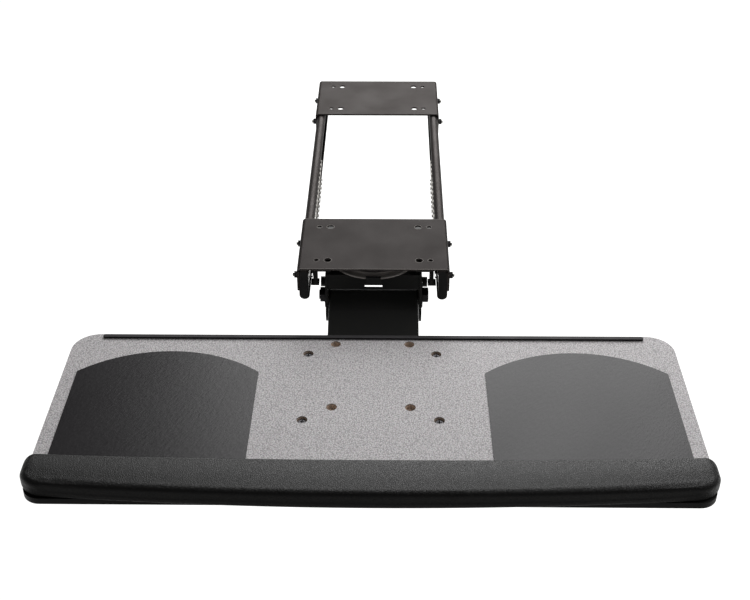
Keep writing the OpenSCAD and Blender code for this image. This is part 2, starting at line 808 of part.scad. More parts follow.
// Plate under the board with two ears folded down to the tilt bolt and a curved slot in each
module tray_bracket() {
    ear_top_z = board_under - tilt_z;
    lobe_r = 14;
    ear_front = -46;
    ear_back = plate_rear + board_y - tilt_y;
    slot_from = 90 - tilt_up - 2;
    slot_turn = tilt_up + tilt_down + 4;
    slot_r = stop_d / 2 + bolt_play;
    window_w = tilt_ear_x - tilt_ear_t - 6.5;
    color("#1c1c1c") difference() {
        union() {
            translate([0, board_y, board_under - plate_t]) linear_extrude(plate_t)
                round_rect([-plate_x, plate_front], [plate_x, plate_rear], 12);
            both_sides() translate([0, tilt_y, tilt_z]) along_x(tilt_ear_x - tilt_ear_t, tilt_ear_x) {
                circle(lobe_r);
                polygon([
                    [ear_front, ear_top_z], [ear_front, ear_top_z - 8],
                    touch([ear_front, ear_top_z - 8], [0, 0], lobe_r, 1), [0, 0],
                    touch([ear_back, ear_top_z - 6], [0, 0], lobe_r, -1),
                    [ear_back, ear_top_z - 6], [ear_back, ear_top_z],
                ]);
            }
        }
        both_sides() translate([0, board_y, board_under - plate_t - cut]) linear_extrude(plate_t + 2 * cut)
            round_rect([-0.1, tilt_y + ear_front - board_y], [window_w, plate_rear - 9], 4);
        translate([0, tilt_y, tilt_z]) bar_x(-tilt_ear_x - cut, tilt_ear_x + cut, tilt_d / 2 + running);
        both_sides() translate([tilt_ear_x - tilt_ear_t - cut, tilt_y, tilt_z]) rotate([90, 0, 90]) {
            rotate([0, 0, slot_from]) rotate_extrude(angle = slot_turn)
                translate([stop_rise - slot_r, 0]) square([2 * slot_r, tilt_ear_t + 2 * cut]);
            for (a = [slot_from, slot_from + slot_turn]) rotate([0, 0, a]) translate([stop_rise, 0, 0])
                cylinder(h = tilt_ear_t + 2 * cut, r = slot_r);
        }
        for (p = screw_holes) translate([p[0], board_y + p[1], board_under - plate_t - cut])
            cylinder(h = plate_t + 2 * cut, d = screw_d + 2 * bolt_play);
    }
}

module tilt_sleeve() {
    reach = tilt_ear_x - tilt_ear_t;
    color("#8f8f8c") translate([0, tilt_y, tilt_z]) difference() {
        bar_x(-reach, reach, tilt_sleeve_r);
        bar_x(-reach - cut, reach + cut, tilt_d / 2 + running);
    }
}

module friction_washers() {
    color("#8a6a4a") both_sides() translate([0, tilt_y, tilt_z]) difference() {
        bar_x(tilt_ear_x, tilt_ear_x + friction_t - running, friction_r);
        bar_x(tilt_ear_x - cut, yoke_x, tilt_d / 2 + running);
    }
}

// Tray

module board_outline(inset) {
    round_rect(
        [-board_w / 2 + inset, -board_d + inset], [board_w / 2 - inset, -inset], board_r - inset
    );
}

module strip_outline(play) {
    r = strip_w / 2 + play;
    translate([-strip_x + strip_w / 2, strip_y - r]) square([2 * strip_x - strip_w, 2 * r]);
    for (s = [-1, 1]) translate([s * (strip_x - strip_w / 2), strip_y]) circle(r);
}

// Everything that is let into the board's top: counterbored holes and the strip's groove
module board_cuts() {
    for (p = concat(screw_holes, spare_holes)) translate([p[0], p[1], 0]) {
        translate([0, 0, -counterbore_h]) cylinder(h = counterbore_h + cut, d = counterbore_d);
        translate([0, 0, -board_t - cut]) cylinder(h = board_t, d = screw_d + 2 * bolt_play);
    }
    translate([0, 0, -strip_sunk]) linear_extrude(strip_sunk + cut) strip_outline(0);
    for (x = palm_screw_x) translate([x, palm_screw_y, -board_t - cut])
        cylinder(h = board_t + 2 * cut, d = palm_screw_d + 2 * bolt_play);
}

module on_board() {
    translate([0, board_y, board_z]) children();
}

module tray_core() {
    color("#7a5a3c") on_board() difference() {
        translate([0, 0, -board_t]) linear_extrude(board_t - laminate_t) board_outline(band_t);
        board_cuts();
    }
}

module tray_laminate() {
    color("#a8a6a8") on_board() difference() {
        translate([0, 0, -laminate_t]) linear_extrude(laminate_t) board_outline(0);
        board_cuts();
    }
}

module tray_edge_band() {
    color("#232323") on_board() translate([0, 0, -board_t])
        linear_extrude(board_t - laminate_t) difference() {
        board_outline(0);
        board_outline(band_t);
    }
}

// Pan-head machine screws with a cross recess
module board_screws() {
    head_h = 3.2;
    head_r = 4.8;
    recess = [5, 1.1, 1.8];
    foot = -board_t - plate_t - nut_h;
    color("#2b2b2d") on_board() for (p = screw_holes) translate([p[0], p[1], 0]) difference() {
        union() {
            translate([0, 0, -counterbore_h]) cylinder(h = head_h, r1 = head_r, r2 = head_r - 0.8);
            translate([0, 0, foot]) cylinder(h = -foot - counterbore_h, d = screw_d);
        }
        for (a = [0, 90]) rotate([0, 0, a])
            translate([-recess[0] / 2, -recess[1] / 2, -counterbore_h + head_h - recess[2]])
                cube(recess + [0, 0, cut]);
    }
}

module weld_nuts() {
    weld_flats = 10;
    color("#77756f") on_board() for (p = screw_holes)
        translate([p[0], p[1], -board_t - plate_t - nut_h]) difference() {
            cylinder(h = nut_h, r = weld_flats / sqrt(3), $fn = 6);
            translate([0, 0, -cut]) cylinder(h = nut_h + 2 * cut, d = screw_d);
        }
}

// Ribbed edge that keeps a keyboard from sliding off the back
module rear_stop_strip() {
    color("#2d2d2f") on_board() {
        translate([0, 0, -strip_sunk]) linear_extrude(strip_sunk + strip_proud) strip_outline(0);
    }
}

// Thin sheet with straight sides and an arched rear edge
module mouse_pad(side) {
    chord = pad_w / 2;
    arch_r = (chord * chord + pad_arch * pad_arch) / (2 * pad_arch);
    middle = pad_gap + chord;
    on_side(side) on_board() linear_extrude(pad_t) intersection() {
        translate([pad_gap, pad_front]) square([pad_w, pad_shoulder + pad_arch - pad_front]);
        union() {
            translate([middle, pad_shoulder + pad_arch - arch_r]) circle(arch_r, $fn = 128);
            translate([pad_gap, pad_front]) square([pad_w, pad_shoulder - pad_front]);
        }
    }
}

module left_mouse_pad() {
    color("#3f3e40") mouse_pad(-1);
}

module right_mouse_pad() {
    color("#464446") mouse_pad(1);
}

// Palm rest

// Moulded carrier: a shelf on the board and a lip that hooks over its front edge
module palm_rest_base() {
    color("#0e0e0e") on_board() difference() {
        union() {
            translate([-base_x, -board_d - base_lip_t, 0])
                cube([2 * base_x, board_d + base_lip_t + palm_rear - base_back, palm_seat]);
            translate([0, 0, base_lip_foot]) linear_extrude(base_lip_top - base_lip_foot) difference() {
                round_rect(
                    [-palm_x + base_back, -board_d - base_lip_d],
                    [palm_x - base_back, -board_d + board_r], base_r
                );
                board_outline(0);
                translate([-palm_x, -board_d + board_r * 0.7]) square([2 * palm_x, board_d]);
            }
            translate([-base_x, -board_d - base_lip_t, base_lip_foot])
                cube([2 * base_x, base_lip_t, 1 - base_lip_foot]);
        }
        for (x = palm_screw_x) translate([x, palm_screw_y, -cut]) cylinder(h = palm_seat, d = palm_screw_d);
    }
}

// Cushion outline: the rear edge, the front crease and the front face each bow by their own share
palm_front = palm_rear - palm_top_d - palm_roll;
palm_lip_y = -board_d - base_lip_d - plate_play;
palm_step_y = -board_d - base_lip_t - plate_play / 2;
palm_under = base_lip_top + 1;
palm_foot = base_lip_top + 0.3;
palm_foot_r = 3.5;
palm_droop = 2;
palm_back_r = 4;
palm_crown = 0.9;
palm_steps = 15;
palm_end_steps = 7;
palm_ends = [for (i = [0:palm_end_steps]) palm_x - palm_end_r * (1 - cos(i * 90 / palm_end_steps))];
palm_stations = concat(
    -palm_ends,
    [for (i = [1:palm_steps]) (i * 2 / (palm_steps + 1) - 1) * (palm_x - palm_end_r)],
    [for (i = [palm_end_steps:-1:0]) palm_ends[i]]
);

// How far a corner of this radius has drawn in at x
function palm_corner(x, r) = let (past = max(0, abs(x) - palm_x + r)) r - sqrt(r * r - past * past);

// Section at x: crowned top, tight front roll, upright face that droops past the lip, stepped underside
function palm_section(rear, crease, front) =
    let (
        room = min(1, max(0, (palm_lip_y - front - palm_foot_r) / (palm_lip_y - palm_front - palm_foot_r))),
        foot = palm_foot - palm_droop * room,
        under_y = max(palm_lip_y, front + palm_foot_r + plate_play)
    )
    concat(
        [[rear + palm_back_r, palm_seat]],
        arc([rear, palm_h - palm_back_r], palm_back_r, 0, 90, 4),
        [for (i = [1:4]) [rear + (crease - rear) * i / 5, palm_h + palm_crown * sin(i * 36)]],
        [for (a = [90:15:180]) [crease + (crease - front) * cos(a), palm_h + palm_roll * (sin(a) - 1)]],
        arc([front + palm_foot_r, foot + palm_foot_r], palm_foot_r, 180, 270, 3),
        [[under_y, foot], [under_y, palm_under], [palm_step_y, palm_under], [palm_step_y, palm_seat]]
    );

function palm_ring(x) =
    let (
        bow = palm_bow * pow(x / palm_x, 2),
        front = palm_front + bow * 0.75,
        back = palm_rear + palm_back_r + bow * 0.3,
        low = front + palm_corner(x, palm_end_r),
        high = back - palm_corner(x, palm_rear_r),
        rise = 1 - palm_corner(x, palm_top_r) / (palm_h - palm_seat)
    )
    [for (p = palm_section(back - palm_back_r, palm_rear - palm_top_d + bow, front)) [
        x,
        low + (p[0] - front) * (high - low) / (back - front),
        palm_seat + (p[1] - palm_seat) * rise,
    ]];

module palm_rest() {
    rings = len(palm_stations);
    count = len(palm_ring(0));
    sides = [for (r = [0:rings - 2], i = [0:count - 1]) let (n = (i + 1) % count)
        [r * count + i, (r + 1) * count + i, (r + 1) * count + n, r * count + n]];
    color("#2a2928") on_board() polyhedron(
        points = [for (x = palm_stations) each palm_ring(x)],
        faces = concat(
            [[for (i = [0:count - 1]) i]], sides, [[for (i = [count - 1:-1:0]) (rings - 1) * count + i]]
        )
    );
}

module palm_rest_screws() {
    head_h = 2.5;
    color("#77756f") on_board() for (x = palm_screw_x) translate([x, palm_screw_y, -board_t]) {
        translate([0, 0, -head_h]) cylinder(h = head_h, r1 = palm_screw_d - 1, r2 = palm_screw_d);
        cylinder(h = board_t + palm_seat - 1, d = palm_screw_d);
    }
}

front_desk_bracket();
rear_desk_bracket();
left_outer_rail();
right_outer_rail();
rail_studs();
rail_washers();
rail_nuts();
front_rail_stops();
rear_rail_stops();
left_ball_cage();
right_ball_cage();
left_bearing_balls();
right_bearing_balls();
left_inner_rail();
right_inner_rail();
carriage_plate();
carriage_rivets();
swivel_washer();
swivel_disc();
swivel_pin();
pivot_bracket();
pivot_bolt();
pivot_nut();
pivot_washers();
rear_link_pins();
arm_channel();
pivot_sleeve();
arm_thrust_washers();
left_level_link();
right_level_link();
tilt_yoke();
front_link_pins();
tilt_bolt();
pin_spacers();
tilt_stop_pins();
tilt_knob();
knob_insert();
tray_bracket();
tilt_sleeve();
friction_washers();
tray_core();
tray_laminate();
tray_edge_band();
board_screws();
weld_nuts();
rear_stop_strip();
left_mouse_pad();
right_mouse_pad();
palm_rest_base();
palm_rest();
palm_rest_screws();
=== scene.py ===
import math

import bpy
import numpy as np
from mathutils import Matrix, Vector


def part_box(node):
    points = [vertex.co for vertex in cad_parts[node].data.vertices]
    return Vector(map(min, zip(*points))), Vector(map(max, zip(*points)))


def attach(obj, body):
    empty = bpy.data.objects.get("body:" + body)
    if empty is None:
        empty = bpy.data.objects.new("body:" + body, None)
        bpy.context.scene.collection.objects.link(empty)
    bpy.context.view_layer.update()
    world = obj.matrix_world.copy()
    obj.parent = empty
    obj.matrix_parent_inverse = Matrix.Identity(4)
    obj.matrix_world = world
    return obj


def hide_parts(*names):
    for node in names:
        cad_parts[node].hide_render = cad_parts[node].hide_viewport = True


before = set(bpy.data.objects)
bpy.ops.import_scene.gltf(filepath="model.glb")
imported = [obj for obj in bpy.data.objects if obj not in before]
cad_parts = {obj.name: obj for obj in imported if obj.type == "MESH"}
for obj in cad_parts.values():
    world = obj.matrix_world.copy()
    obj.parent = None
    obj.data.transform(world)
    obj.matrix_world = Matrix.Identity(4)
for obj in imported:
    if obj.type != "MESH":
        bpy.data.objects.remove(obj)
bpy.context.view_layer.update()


# Desk brackets
# Two plates of folded sheet steel, punched with eight screw holes each and powder-coated satin
# black. Screws hold them under the desk top, and the slides hang from their side flanges.

def linear(hex_colour):
    """An sRGB hex colour as the linear colour that a shader takes."""
    parts = [int(hex_colour[i:i + 2], 16) / 255 for i in (1, 3, 5)]
    return (*[p / 12.92 if p <= 0.04045 else ((p + 0.055) / 1.055) ** 2.4 for p in parts], 1.0)


def add(tree, kind, settings=(), sockets=()):
    """Adds a node, with its settings, and each socket set to a value or linked to an output."""
    new = tree.nodes.new(kind)
    for name, value in dict(settings).items():
        setattr(new, name, value)
    for key, value in dict(sockets).items():
        if isinstance(value, bpy.types.NodeSocket):
            tree.links.new(value, new.inputs[key])
        else:
            new.inputs[key].default_value = value
    return new


def start_finish(name, sockets):
    """A new material whose shader has these sockets set, with the place on the piece in metres."""
    finish = bpy.data.materials.new(name)
    finish.use_nodes = True
    tree = finish.node_tree
    shader = tree.nodes["Principled BSDF"]
    for key, value in sockets.items():
        shader.inputs[key].default_value = value
    return finish, tree, shader, add(tree, "ShaderNodeTexCoord").outputs["Object"]


def connect(tree, shader, links):
    """Links outputs to the shader's sockets."""
    for key, output in links.items():
        tree.links.new(output, shader.inputs[key])


def dress(finish, *names):
    """Gives CAD nodes a finish."""
    for name in names:
        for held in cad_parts[name].material_slots:
            held.material = finish


# A colour Mix node's sockets go by number, because several of them share a name
mix_share, mix_a, mix_b, mix_out = 0, 6, 7, 2
# Most of a noise's values lie between these two
noise_low, noise_high = 0.3, 0.7


def coated_steel(name, paint, wear_and_highlight_tone, rough, peel, edge_round=0.0007, specular=0.3,
                 gleam="#ffffff", crisp=False):
    """Paint baked on sheet steel: a fine orange peel, cloudy gloss, and edges paled by wear and a
    painted highlight.

    peel is the width of one bump. A crisp edge keeps flat shading, so its pale edge stays fully lit
    as a sharp painted highlight.
    """
    cloud_size, peel_depth = 0.05, 0.00008
    flat_bend, worn_bend = 0.99, 0.86
    finish, tree, shader, place = start_finish(
        name, {"IOR": 1.5, "Specular IOR Level": specular, "Specular Tint": linear(gleam)})
    cloud = add(tree, "ShaderNodeTexNoise", {},
                {"Vector": place, "Scale": 1 / cloud_size, "Detail": 5.0})
    grit = add(tree, "ShaderNodeTexNoise", {},
               {"Vector": place, "Scale": 1 / peel, "Detail": 2.0})
    rounded = add(tree, "ShaderNodeBevel", {"samples": 6}, {"Radius": edge_round})
    facing = add(tree, "ShaderNodeNewGeometry")
    bend = add(tree, "ShaderNodeVectorMath", {"operation": "DOT_PRODUCT"},
               {0: rounded.outputs["Normal"], 1: facing.outputs["Normal"]})
    edge = add(tree, "ShaderNodeMapRange", {},
               {"Value": bend.outputs["Value"], "From Min": flat_bend, "From Max": worn_bend})
    # Edges are paled by rubbed wear and by a painted highlight where an edge would catch the light
    wear_and_highlight_mask = add(tree, "ShaderNodeMath", {"operation": "MULTIPLY", "use_clamp": True},
                 {0: edge.outputs["Result"], 1: cloud.outputs["Fac"]})
    tone = add(tree, "ShaderNodeMix", {"data_type": "RGBA"},
               {mix_share: wear_and_highlight_mask.outputs["Value"], mix_a: linear(paint), mix_b: linear(wear_and_highlight_tone)})
    gloss = add(tree, "ShaderNodeMapRange", {}, {
        "Value": cloud.outputs["Fac"], "From Min": noise_low, "From Max": noise_high,
        "To Min": rough - 0.05, "To Max": rough + 0.06})
    peeled = add(tree, "ShaderNodeBump", {}, {
        "Strength": 0.3, "Distance": peel_depth, "Height": grit.outputs["Fac"],
        "Normal": (facing if crisp else rounded).outputs["Normal"]})
    connect(tree, shader, {
        "Base Color": tone.outputs[mix_out], "Roughness": gloss.outputs["Result"],
        "Normal": peeled.outputs["Normal"]})
    return finish


# Baked powder has a soft satin sheen; the front bracket's edges and holes carry light lines, a
# painted highlight with some rubbed wear
bracket_coat = coated_steel(
    "Satin black powder coat on folded steel", "#272423", "#b8b2ae", 0.45, 0.0009,
    edge_round=0.0016, specular=0.034, gleam="#ffe2d6", crisp=True)
dress(bracket_coat, "front_desk_bracket")
# The rear bracket has the same powder, painted a shade paler to stand in for the light it catches;
# its edges are paled less, by wear and painted highlight
rear_coat = coated_steel(
    "Satin black powder coat on the rear bracket", "#2e2a28", "#8a8483", 0.45, 0.0009,
    edge_round=0.0016, specular=0.036, gleam="#ffdccf")
dress(rear_coat, "rear_desk_bracket")


# Slides
# Rolled steel channels with a black electrocoat. Four studs on each pass through the bracket
# flanges and take a washer and a nut, and a moulded plug closes each end.

# A dipped coat is thin and even, so the rolled steel gleams a little more than under powder
rail_coat = coated_steel(
    "Black electrocoat on rolled steel", "#252221", "#5a5552", 0.5, 0.0016,
    specular=0.12, gleam="#ffe2d6")
dress(rail_coat, "left_outer_rail", "right_outer_rail")


def moulded(name, colour, rough, grain, specular=0.3):
    """Injection-moulded plastic with a spark-eroded grain and a slightly uneven gloss."""
    flow_size, grain_depth, edge_round = 0.03, 0.00006, 0.0006
    finish, tree, shader, place = start_finish(
        name, {"IOR": 1.5, "Specular IOR Level": specular})
    grains = add(tree, "ShaderNodeTexNoise", {},
                 {"Vector": place, "Scale": 1 / grain, "Detail": 3.0})
    flow = add(tree, "ShaderNodeTexNoise", {},
               {"Vector": place, "Scale": 1 / flow_size, "Detail": 2.0})
    gloss = add(tree, "ShaderNodeMapRange", {}, {
        "Value": flow.outputs["Fac"], "From Min": noise_low, "From Max": noise_high,
        "To Min": rough - 0.06, "To Max": rough + 0.06})
    tone = add(tree, "ShaderNodeMix", {"data_type": "RGBA", "blend_type": "MULTIPLY"},
               {mix_share: 0.35, mix_a: linear(colour), mix_b: flow.outputs["Fac"]})
    rounded = add(tree, "ShaderNodeBevel", {"samples": 6}, {"Radius": edge_round})
    grained = add(tree, "ShaderNodeBump", {}, {
        "Strength": 0.4, "Distance": grain_depth, "Height": grains.outputs["Fac"],
        "Normal": rounded.outputs["Normal"]})
    connect(tree, shader, {
        "Base Color": tone.outputs[mix_out], "Roughness": gloss.outputs["Result"],
        "Normal": grained.outputs["Normal"]})
    return finish


# Moulded nylon is near black, with a dull even grain
plug_plastic = moulded("Moulded black nylon", "#1b1b1b", 0.45, 0.0004)
dress(plug_plastic, "front_rail_stops", "rear_rail_stops")


def plated(name, bright, dull, rough, streak):
    """Plated or blackened metal: rolling streaks along the strip show through the thin plating."""
    streak_squeeze, streak_depth = 0.06, 0.00003
    bloom_size, edge_round = 0.012, 0.0003
    finish, tree, shader, place = start_finish(name, {"Metallic": 1.0})
    along = add(tree, "ShaderNodeMapping", {},
                {"Vector": place, "Scale": (1.0, streak_squeeze, 1.0)})
    streaks = add(tree, "ShaderNodeTexNoise", {},
                  {"Vector": along.outputs["Vector"], "Scale": 1 / streak, "Detail": 4.0})
    bloom = add(tree, "ShaderNodeTexNoise", {},
                {"Vector": place, "Scale": 1 / bloom_size, "Detail": 3.0})
    tone = add(tree, "ShaderNodeMix", {"data_type": "RGBA"},
               {mix_share: bloom.outputs["Fac"], mix_a: linear(bright), mix_b: linear(dull)})
    gloss = add(tree, "ShaderNodeMapRange", {}, {
        "Value": streaks.outputs["Fac"], "From Min": noise_low, "From Max": noise_high,
        "To Min": rough - 0.08, "To Max": rough + 0.1})
    rounded = add(tree, "ShaderNodeBevel", {"samples": 4}, {"Radius": edge_round})
    rolled = add(tree, "ShaderNodeBump", {}, {
        "Strength": 0.2, "Distance": streak_depth, "Height": streaks.outputs["Fac"],
        "Normal": rounded.outputs["Normal"]})
    connect(tree, shader, {
        "Base Color": tone.outputs[mix_out], "Roughness": gloss.outputs["Result"],
        "Normal": rolled.outputs["Normal"]})
    return finish


# Bright zinc is silvery, with cloudy patches; black oxide keeps a dark metal gleam
zinc = plated("Bright zinc plate on steel", "#d6d5d0", "#a9a8a2", 0.32, 0.0012)
dress(zinc, "rail_studs", "rail_washers")
black_oxide = plated("Black oxide on steel", "#464547", "#2e2d2e", 0.42, 0.0012)
dress(black_oxide, "rail_nuts")


# Threads on the rail studs
# The rolled thread that stands out of each nut, in the stud's own zinc. It is a single helix,
# made once and set on every stud end.

def thread_tree(finish):
    """A helix with a three-sided ridge, set along X on each point that comes in."""
    turn_steps, ridge_sides = 24, 3
    tree = bpy.data.node_groups.new("Rolled thread", "GeometryNodeTree")
    tree.interface.new_socket("Geometry", in_out="INPUT", socket_type="NodeSocketGeometry")
    for name in ("Thread Radius", "Pitch", "Turns", "Ridge"):
        tree.interface.new_socket(name, in_out="INPUT", socket_type="NodeSocketFloat")
    tree.interface.new_socket("Geometry", in_out="OUTPUT", socket_type="NodeSocketGeometry")
    given = add(tree, "NodeGroupInput").outputs
    length = add(tree, "ShaderNodeMath", {"operation": "MULTIPLY"},
                 {0: given["Pitch"], 1: given["Turns"]})
    helix = add(tree, "GeometryNodeCurveSpiral", {}, {
        "Resolution": turn_steps, "Rotations": given["Turns"],
        "Start Radius": given["Thread Radius"], "End Radius": given["Thread Radius"],
        "Height": length.outputs["Value"]})
    ridge = add(tree, "GeometryNodeCurvePrimitiveCircle", {},
                {"Resolution": ridge_sides, "Radius": given["Ridge"]})
    tube = add(tree, "GeometryNodeCurveToMesh", {}, {
        "Curve": helix.outputs["Curve"], "Profile Curve": ridge.outputs["Curve"],
        "Fill Caps": True})
    half = add(tree, "ShaderNodeMath", {"operation": "MULTIPLY"},
               {0: length.outputs["Value"], 1: -0.5})
    down = add(tree, "ShaderNodeCombineXYZ", {}, {"Z": half.outputs["Value"]})
    centred = add(tree, "GeometryNodeTransform", {},
                  {"Geometry": tube.outputs["Mesh"], "Translation": down.outputs["Vector"]})
    placed = add(tree, "GeometryNodeInstanceOnPoints", {}, {
        "Points": given["Geometry"], "Instance": centred.outputs["Geometry"],
        "Rotation": (0.0, math.pi / 2, 0.0)})
    solid = add(tree, "GeometryNodeRealizeInstances", {},
                {"Geometry": placed.outputs["Instances"]})
    coated = add(tree, "GeometryNodeSetMaterial", {},
                 {"Geometry": solid.outputs["Geometry"], "Material": finish})
    add(tree, "NodeGroupOutput", {}, {"Geometry": coated.outputs["Geometry"]})
    return tree


def cut_threads(name, finish, ends, body, slot, **sizes):
    """A mesh of threads on these stud ends, riding on a body."""
    points = bpy.data.meshes.new(name + "_ends")
    points.from_pydata(ends, [], [])
    maker = bpy.data.objects.new(name + "_maker", points)
    bpy.context.scene.collection.objects.link(maker)
    tree = thread_tree(finish)
    modifier = maker.modifiers.new("Thread", "NODES")
    modifier.node_group = tree
    for socket in tree.interface.items_tree:
        if socket.in_out == "INPUT" and socket.name in sizes:
            modifier[socket.identifier] = sizes[socket.name]
    made = maker.evaluated_get(bpy.context.evaluated_depsgraph_get())
    mesh = bpy.data.meshes.new_from_object(made)
    bpy.data.objects.remove(maker)
    piece = bpy.data.objects.new(name, mesh)
    bpy.context.scene.collection.objects.link(piece)
    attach(piece, body)


stud_low, stud_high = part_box("rail_studs")
nut_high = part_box("rail_nuts")[1]
stud_mid = (stud_low + stud_high) / 2
stud_end_x = (nut_high.x + stud_high.x) / 2
stud_r, stud_head_r, stud_pitch = 0.0025, 0.0045, 0.073
thread_sunk = 0.0001
first_stud, last_stud = stud_low.y + stud_head_r, stud_high.y - stud_head_r
stud_rows = [first_stud, first_stud + stud_pitch, last_stud - stud_pitch, last_stud]
cut_threads(
    "stud_threads", zinc, [(s * stud_end_x, y, stud_mid.z) for s in (-1, 1) for y in stud_rows],
    "track", "zinc_steel",
    **{"Thread Radius": stud_r - thread_sunk, "Pitch": 0.0005, "Turns": 3.0, "Ridge": 0.0003})


# Ball cages and balls
# Pressed strip, barrel-plated and left dull, with a pocket for each hardened ball; the balls roll
# between the two rails.

dull_zinc = plated("Dull zinc plate on pressed strip", "#716f6b", "#504e4b", 0.5, 0.0012)
dress(dull_zinc, "left_ball_cage", "right_ball_cage")
# Polished balls are bright, under a thin uneven film of grease
ball_film_size = 0.002
ball_steel, ball_tree, ball_shader, ball_place = start_finish(
    "Polished bearing steel", {"Metallic": 1.0, "Base Color": linear("#dcdcde")})
ball_film = add(ball_tree, "ShaderNodeTexNoise", {},
                {"Vector": ball_place, "Scale": 1 / ball_film_size, "Detail": 2.0})
ball_gloss = add(ball_tree, "ShaderNodeMapRange", {}, {
    "Value": ball_film.outputs["Fac"], "To Min": 0.05, "To Max": 0.2})
connect(ball_tree, ball_shader, {"Roughness": ball_gloss.outputs["Result"]})
dress(ball_steel, "left_bearing_balls", "right_bearing_balls")


# Carriage
# A folded plate with a black powder coat, riveted between the two inner rails, which are rolled
# steel left in plain zinc.

# This powder is a plain dull black, with hardly any wear to see
arm_coat = coated_steel(
    "Black powder coat on the arm and carriage", "#343433", "#424140", 0.5, 0.0009,
    specular=0.12)
dress(zinc, "left_inner_rail", "right_inner_rail", "carriage_rivets")
dress(arm_coat, "carriage_plate")


# Swivel and pivot bracket
# A pressed disc turns on a nylon slip washer under the carriage, and carries the folded pivot
# bracket with its lift bolt, nut and large washers.

# Phosphate is a matt grey, painted paler than its own tone as light on the disc's shaded rim;
# natural nylon is a waxy off-white
disc_coat = coated_steel(
    "Light grey phosphate on the pressed swivel disc", "#c6c0bb", "#d4cfca", 0.45, 0.0009,
    specular=0.4)
dress(disc_coat, "swivel_disc")
nylon = moulded("Natural nylon", "#d8d5c8", 0.45, 0.0005)
dress(nylon, "swivel_washer", "arm_thrust_washers")
dress(zinc, "swivel_pin", "rear_link_pins")
dress(arm_coat, "pivot_bracket", "pivot_sleeve")
dress(black_oxide, "pivot_bolt", "pivot_nut", "pivot_washers")
bolt_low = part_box("pivot_bolt")[0]
pivot_nut_low, pivot_nut_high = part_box("pivot_nut")
bolt_mid = (pivot_nut_low + pivot_nut_high) / 2
bolt_end_x = (bolt_low.x + pivot_nut_low.x) / 2
cut_threads(
    "pivot_threads", black_oxide, [(bolt_end_x, bolt_mid.y, bolt_mid.z)],
    "swivel", "dark_fastener",
    **{"Thread Radius": 0.0059, "Pitch": 0.0007, "Turns": 1.6, "Ridge": 0.0004})


# Arm, level links and tilt head
# A folded black channel lifts the tray; flat black-zinc links inside it keep the yoke level, and
# the yoke clamps the tray's ears on the tilt bolt with a moulded hand knob.

dress(arm_coat, "arm_channel", "tilt_yoke")
black_zinc = plated("Black zinc plate on steel", "#4a4948", "#2f2e2d", 0.42, 0.0012)
dress(black_zinc, "left_level_link", "right_level_link")
dress(zinc, "front_link_pins", "pin_spacers", "tilt_stop_pins", "tilt_sleeve")
dress(black_oxide, "tilt_bolt")
# Glass fibre dulls the knob's nylon; the brass insert is yellow, and the fibre washers matt brown
knob_plastic = moulded("Moulded black glass-filled nylon", "#1c1c1c", 0.5, 0.0005)
dress(knob_plastic, "tilt_knob")
brass = plated("Turned brass", "#c9a25a", "#a57f3c", 0.28, 0.0004)
dress(brass, "knob_insert")
fibre = moulded("Pressed brown fibre", "#8a6a4a", 0.7, 0.0008)
dress(fibre, "friction_washers")


# Tray board
# Medium-density fibreboard faced with a light grey speckled laminate and a black edge band. Four
# machine screws in counterbores hold it to the bracket's weld nuts; four more are left empty.

# Sanded fibreboard is a matt buff, with short fibres that lie along the board and cloudy patches
fibre_width, fibre_squeeze, fibre_depth, mdf_cloud_size = 0.0014, 0.3, 0.0001, 0.02
board_fibre, mdf_tree, mdf_shader, mdf_place = start_finish(
    "Sanded medium-density fibreboard",
    {"IOR": 1.5, "Specular IOR Level": 0.1, "Roughness": 0.85})
mdf_lay = add(mdf_tree, "ShaderNodeMapping", {},
              {"Vector": mdf_place, "Scale": (fibre_squeeze, 1.0, 1.0)})
mdf_fibres = add(mdf_tree, "ShaderNodeTexNoise", {},
                 {"Vector": mdf_lay.outputs["Vector"], "Scale": 1 / fibre_width, "Detail": 4.0})
mdf_cloud = add(mdf_tree, "ShaderNodeTexNoise", {},
                {"Vector": mdf_place, "Scale": 1 / mdf_cloud_size, "Detail": 3.0})
mdf_grain = add(mdf_tree, "ShaderNodeMapRange", {}, {
    "Value": mdf_fibres.outputs["Fac"], "From Min": noise_low, "From Max": noise_high})
mdf_tone = add(mdf_tree, "ShaderNodeMix", {"data_type": "RGBA"}, {
    mix_share: mdf_grain.outputs["Result"], mix_a: linear("#b5a598"), mix_b: linear("#d2c2b4")})
mdf_mix = add(mdf_tree, "ShaderNodeMix", {"data_type": "RGBA", "blend_type": "OVERLAY"}, {
    mix_share: 0.3, mix_a: mdf_tone.outputs[mix_out], mix_b: mdf_cloud.outputs["Fac"]})
mdf_bump = add(mdf_tree, "ShaderNodeBump", {}, {
    "Strength": 0.4, "Distance": fibre_depth, "Height": mdf_fibres.outputs["Fac"]})
connect(mdf_tree, mdf_shader, {
    "Base Color": mdf_mix.outputs[mix_out], "Normal": mdf_bump.outputs["Normal"]})
dress(board_fibre, "tray_core")

# The laminate is pressed with pale pebbles in darker gaps, drawn coarse enough to show
pebble, mist_size, pebble_height = 0.0016, 0.0008, 0.00015
laminate, lam_tree, lam_shader, lam_place = start_finish(
    "Speckled grey laminate", {"IOR": 1.5, "Specular IOR Level": 0.1})
lam_cells = add(lam_tree, "ShaderNodeTexVoronoi", {"feature": "F1"},
                {"Vector": lam_place, "Scale": 1 / pebble})
lam_tones = add(lam_tree, "ShaderNodeValToRGB", {}, {"Fac": lam_cells.outputs["Distance"]})
lam_ramp = lam_tones.color_ramp
lam_ramp.elements[0].color = linear("#d2cfd0")
lam_ramp.elements[1].color = linear("#7e7c7d")
for spot, colour in ((0.35, "#bcb9ba"), (0.55, "#9f9c9d")):
    lam_ramp.elements.new(spot).color = linear(colour)
lam_mist = add(lam_tree, "ShaderNodeTexNoise", {},
               {"Vector": lam_place, "Scale": 1 / mist_size, "Detail": 2.0})
